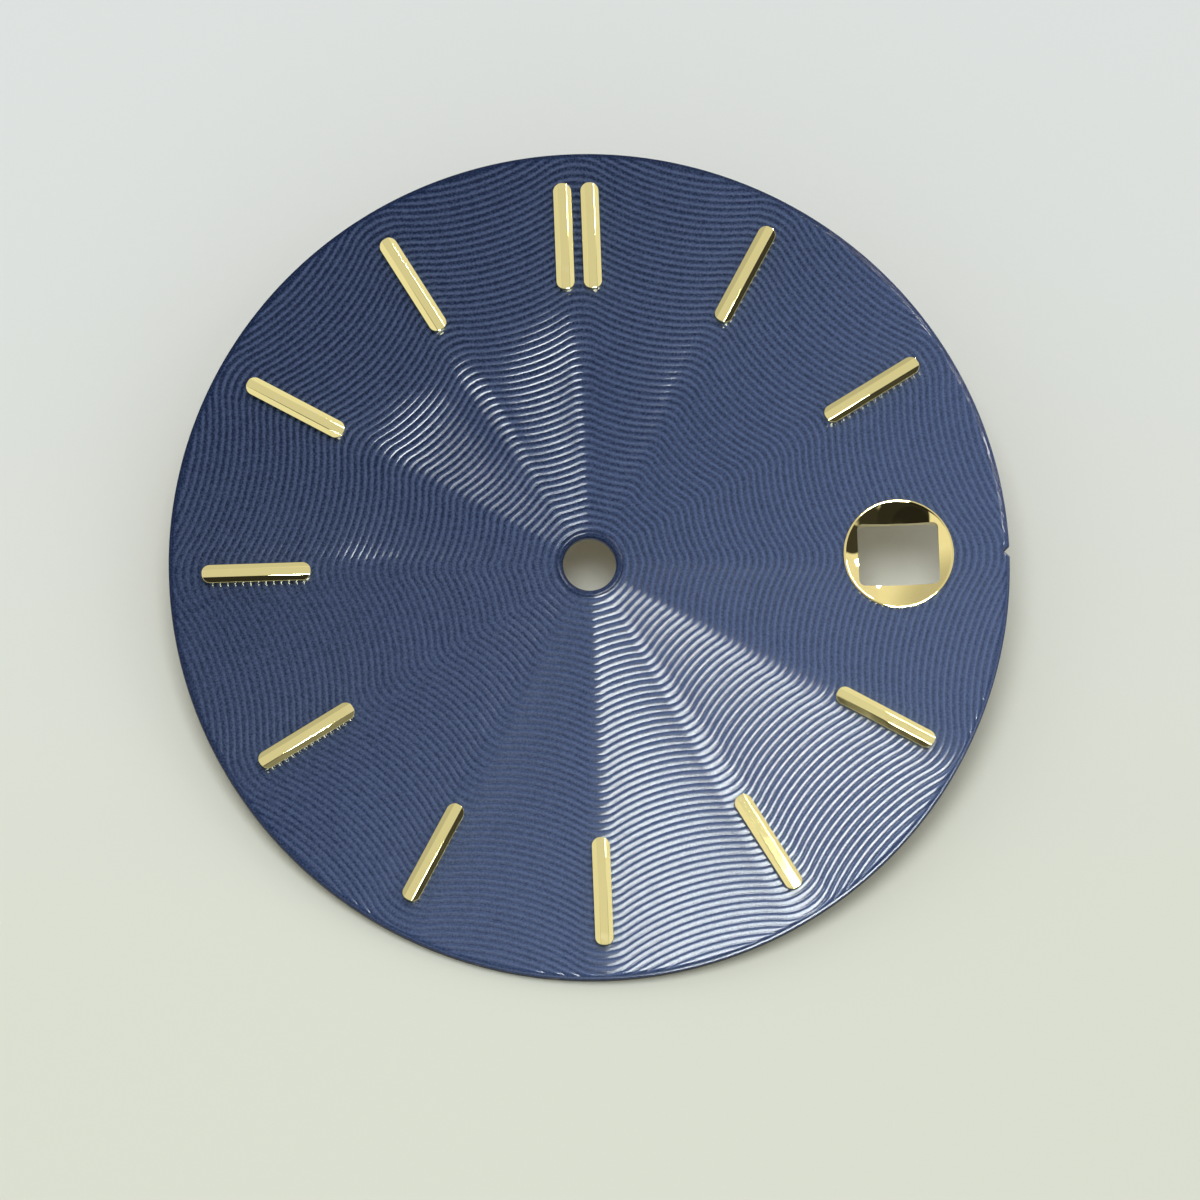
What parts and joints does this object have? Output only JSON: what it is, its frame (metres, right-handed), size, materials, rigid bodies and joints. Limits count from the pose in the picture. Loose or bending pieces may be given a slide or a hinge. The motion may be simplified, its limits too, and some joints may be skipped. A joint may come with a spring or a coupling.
{
  "type": "watch dial",
  "caption": "Round watch dial with wave guilloche under blue lacquer, applied hour batons, a dished date window and two dial feet.",
  "frame": {"origin": "axis of the centre hole, in the back face of the plate", "axes": "+Z out of the dial's face, +Y to 12 o'clock, +X to 3 o'clock"},
  "size_m": [0.0284, 0.0284, 0.0033],
  "materials": {
    "lacquered_plate": "translucent blue gloss lacquer over an engraved metal plate",
    "gold_plate": "polished gold plate",
    "gold_frame": "mirror-polished gold plate",
    "copper": "bare drawn copper"
  },
  "bodies": {
    "root": {"dial_plate": "lacquered_plate", "index_12_left": "gold_plate", "index_12_right": "gold_plate", "index_01": "gold_plate", "index_02": "gold_plate", "index_04": "gold_plate", "index_05": "gold_plate", "index_06": "gold_plate", "index_07": "gold_plate", "index_08": "gold_plate", "index_09": "gold_plate", "index_10": "gold_plate", "index_11": "gold_plate", "date_frame": "gold_frame", "dial_foot_right": "copper", "dial_foot_left": "copper"}
  },
  "joints": []
}
